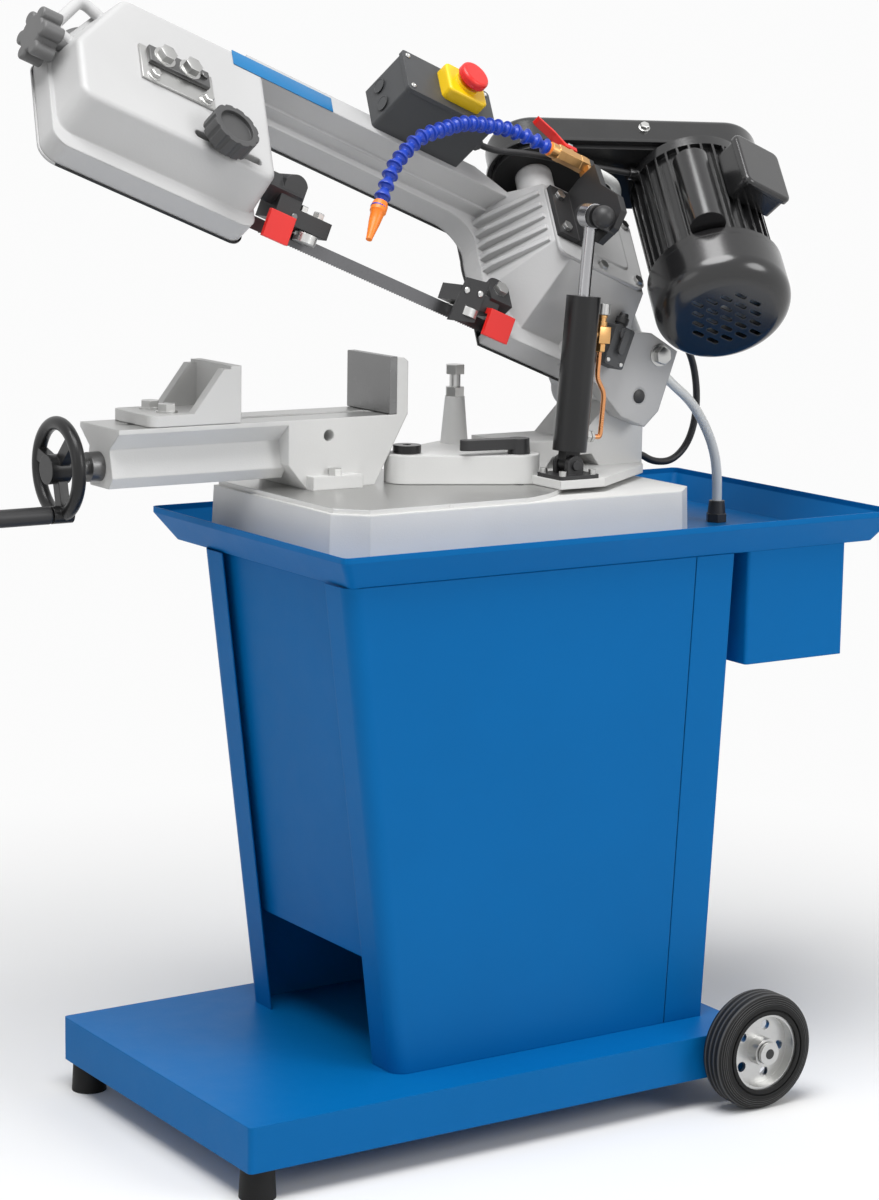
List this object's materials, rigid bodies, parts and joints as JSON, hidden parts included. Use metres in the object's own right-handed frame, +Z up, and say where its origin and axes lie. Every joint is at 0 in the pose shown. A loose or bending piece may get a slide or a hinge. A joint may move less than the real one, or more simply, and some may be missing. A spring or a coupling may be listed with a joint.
{
  "type": "metal cutting band saw",
  "caption": "Horizontal metal cutting band saw: hinged swivelling bow with motor, feed cylinder and coolant line over a screw vise, on a wheeled cabinet stand with a drip tray.",
  "frame": {"origin": "middle of the footprint at floor level", "axes": "+Z up, +X from the vise handwheel to the motor side, +Y away from the user"},
  "size_m": [0.9614, 0.493, 1.1425],
  "materials": {
    "stand_blue": "gloss powder coat, bright blue",
    "foot_rubber": "matt black",
    "steel": "bright turned steel",
    "tyre": "matt black tread",
    "wheel_rim": "zinc plated",
    "casting": "light grey textured paint on castings",
    "ground_steel": "swirl ground",
    "black_paint": "gloss black",
    "black_plastic": "moulded black",
    "chrome_rod": "hard chrome",
    "oil_line": "brass fittings and copper tube",
    "zinc": "zinc plated",
    "blade": "dark blade steel",
    "wheel_iron": "machined cast iron",
    "belt": "matt black",
    "box_grey": "dark grey moulded",
    "yellow": "yellow moulded",
    "red": "red moulded",
    "brass": "bare brass",
    "hose_blue": "blue segments",
    "hose_clear": "milky clear hose",
    "cable": "black sheath"
  },
  "bodies": {
    "stand": {"base_plate": "stand_blue", "rubber_feet": "foot_rubber", "wheel_axle": "steel", "cabinet_front": "stand_blue", "cabinet_left": "stand_blue", "cabinet_shell": "stand_blue", "drip_tray": "stand_blue", "coolant_tank": "stand_blue", "hose_gland": "black_plastic", "base_casting": "casting", "vise_body": "casting", "jaw_plate": "ground_steel", "coolant_hose_lower": "hose_clear"},
    "front_wheel": {"front_tyre": "tyre", "front_rim": "wheel_rim"},
    "rear_wheel": {"rear_tyre": "tyre", "rear_rim": "wheel_rim"},
    "jaw": {"moving_jaw": "casting"},
    "screw": {"vise_screw": "steel", "handwheel": "black_paint"},
    "grip": {"crank_grip": "black_plastic"},
    "swivel": {"swivel_casting": "casting", "stop_bolt": "zinc", "cylinder_mount": "black_paint"},
    "clamp": {"clamp_lever": "black_paint"},
    "barrel": {"cylinder_barrel": "black_paint", "oil_line": "oil_line"},
    "oil_knob": {"flow_knob": "zinc"},
    "rod": {"cylinder_rod": "chrome_rod"},
    "bow": {"bow_frame": "casting", "back_cover": "black_paint", "gearbox_cover": "casting", "saw_blade": "blade", "motor_body": "black_paint", "fan_cover": "black_paint", "motor_plate": "black_paint", "belt_cover": "black_paint", "drive_belt": "belt", "switch_box": "box_grey", "switch_housing": "yellow", "rod_bracket": "black_paint", "coolant_valve": "brass", "nozzle_hose": "hose_blue", "limit_switch": "black_plastic", "fixed_guide": "black_paint", "guard_right": "red", "switch_cable": "cable", "coolant_hose_upper": "hose_clear", "motor_cable": "cable"},
    "tension": {"tension_slide": "wheel_iron"},
    "idler": {"idler_wheel": "wheel_iron"},
    "tensioner": {"tension_knob": "black_plastic"},
    "drive": {"drive_wheel": "wheel_iron"},
    "worm": {"worm_shaft": "steel"},
    "rotor": {"motor_rotor": "steel"},
    "guide": {"guide_arm": "black_paint", "guard_left": "red"},
    "guide_lock": {"lock_knob": "black_plastic"},
    "button": {"stop_button": "red"},
    "valve": {"valve_lever": "red"}
  },
  "joints": [
    {"name": "front_wheel_spin", "type": "hinge", "parent": "stand", "child": "front_wheel", "pos_m": [0.25425, -0.22445, 0.0625], "axis": [0, 1, 0], "continuous": true},
    {"name": "rear_wheel_spin", "type": "hinge", "parent": "stand", "child": "rear_wheel", "pos_m": [0.25425, 0.22455, 0.0625], "axis": [0, 1, 0], "continuous": true},
    {"name": "jaw_slide", "type": "slide", "parent": "stand", "child": "jaw", "axis": [1, 0, 0], "range_m": [0, 0.17]},
    {"name": "screw_turn", "type": "hinge", "parent": "stand", "child": "screw", "pos_m": [-0.40075, 0.09555, 0.682], "axis": [1, 0, 0], "range_deg": [-20, 12300]},
    {"name": "grip_spin", "type": "hinge", "parent": "screw", "child": "grip", "pos_m": [-0.44675, 0.08454, 0.63785], "axis": [1, 0, 0], "continuous": true},
    {"name": "swivel_turn", "type": "hinge", "parent": "stand", "child": "swivel", "pos_m": [-0.01575, 0.05655, 0.66], "axis": [0, 0, 1], "range_deg": [0, 45], "deforming": ["coolant_hose_lower"]},
    {"name": "clamp_turn", "type": "hinge", "parent": "swivel", "child": "clamp", "pos_m": [0.08925, 0.00155, 0.69], "axis": [0, 0, 1], "range_deg": [-60, 60]},
    {"name": "head_tilt", "type": "hinge", "parent": "swivel", "child": "bow", "pos_m": [0.23825, 0.05655, 0.735], "axis": [0, 1, 0], "range_deg": [-24.5, 10], "deforming": ["coolant_hose_upper", "motor_cable"]},
    {"name": "barrel_tilt", "type": "hinge", "parent": "swivel", "child": "barrel", "pos_m": [0.11925, -0.04645, 0.673], "axis": [0, 1, 0], "range_deg": [-19, 8]},
    {"name": "oil_knob_turn", "type": "hinge", "parent": "barrel", "child": "oil_knob", "pos_m": [0.16009, -0.04645, 0.83411], "axis": [0.085, 0, 0.9964], "range_deg": [0, 270]},
    {"name": "rod_slide", "type": "slide", "parent": "barrel", "child": "rod", "axis": [0.085, 0, 0.9964], "range_m": [-0.052, 0.022]},
    {"name": "tension_slide", "type": "slide", "parent": "bow", "child": "tension", "axis": [0.9272, 0, -0.3746], "range_m": [0, 0.012]},
    {"name": "tension_knob_turn", "type": "hinge", "parent": "bow", "child": "tensioner", "pos_m": [-0.43317, 0.05682, 1.10198], "axis": [0.9272, 0, -0.3746], "range_deg": [-20, 2200]},
    {"name": "drive_spin", "type": "hinge", "parent": "bow", "child": "drive", "pos_m": [0.1614, 0.07346, 0.83843], "axis": [0.2602, -0.7193, 0.6441], "continuous": true},
    {"name": "idler_spin", "type": "hinge", "parent": "tension", "child": "idler", "pos_m": [-0.33928, 0.07346, 1.04072], "axis": [0.2602, -0.7193, 0.6441], "continuous": true},
    {"name": "worm_spin", "type": "hinge", "parent": "bow", "child": "worm", "pos_m": [0.15447, 0.06623, 0.93873], "axis": [0.2695, 0.6947, 0.667], "continuous": true},
    {"name": "rotor_spin", "type": "hinge", "parent": "bow", "child": "rotor", "pos_m": [0.30228, -0.0366, 0.89614], "axis": [0.2695, 0.6947, 0.667], "continuous": true},
    {"name": "guide_slide", "type": "slide", "parent": "bow", "child": "guide", "axis": [0.9272, 0, -0.3746], "range_m": [-0.006, 0.044]},
    {"name": "guide_lock_turn", "type": "hinge", "parent": "guide", "child": "guide_lock", "pos_m": [-0.27182, -0.02204, 1.01548], "axis": [0.2602, -0.7193, 0.6441], "range_deg": [-180, 180]},
    {"name": "button_press", "type": "slide", "parent": "bow", "child": "button", "axis": [0.2602, -0.7193, 0.6441], "range_m": [-0.004, 0], "stiffness_N_per_m": 600, "springref_m": 0.004},
    {"name": "valve_turn", "type": "hinge", "parent": "bow", "child": "valve", "pos_m": [0.17043, 0.03552, 0.99425], "axis": [0.2695, 0.6947, 0.667], "range_deg": [0, 90]}
  ],
  "couplings": [
    {"joint": "screw_turn", "follows": "jaw_slide", "rad_per_m": 1256.6},
    {"joint": "barrel_tilt", "follows": "head_tilt", "ratio": 0.7507},
    {"joint": "rod_slide", "follows": "head_tilt", "m_per_rad": 0.1192},
    {"joint": "tension_knob_turn", "follows": "tension_slide", "rad_per_m": 3141.6},
    {"joint": "idler_spin", "follows": "drive_spin", "ratio": 1},
    {"joint": "worm_spin", "follows": "drive_spin", "ratio": 20},
    {"joint": "rotor_spin", "follows": "drive_spin", "ratio": 32.727}
  ]
}
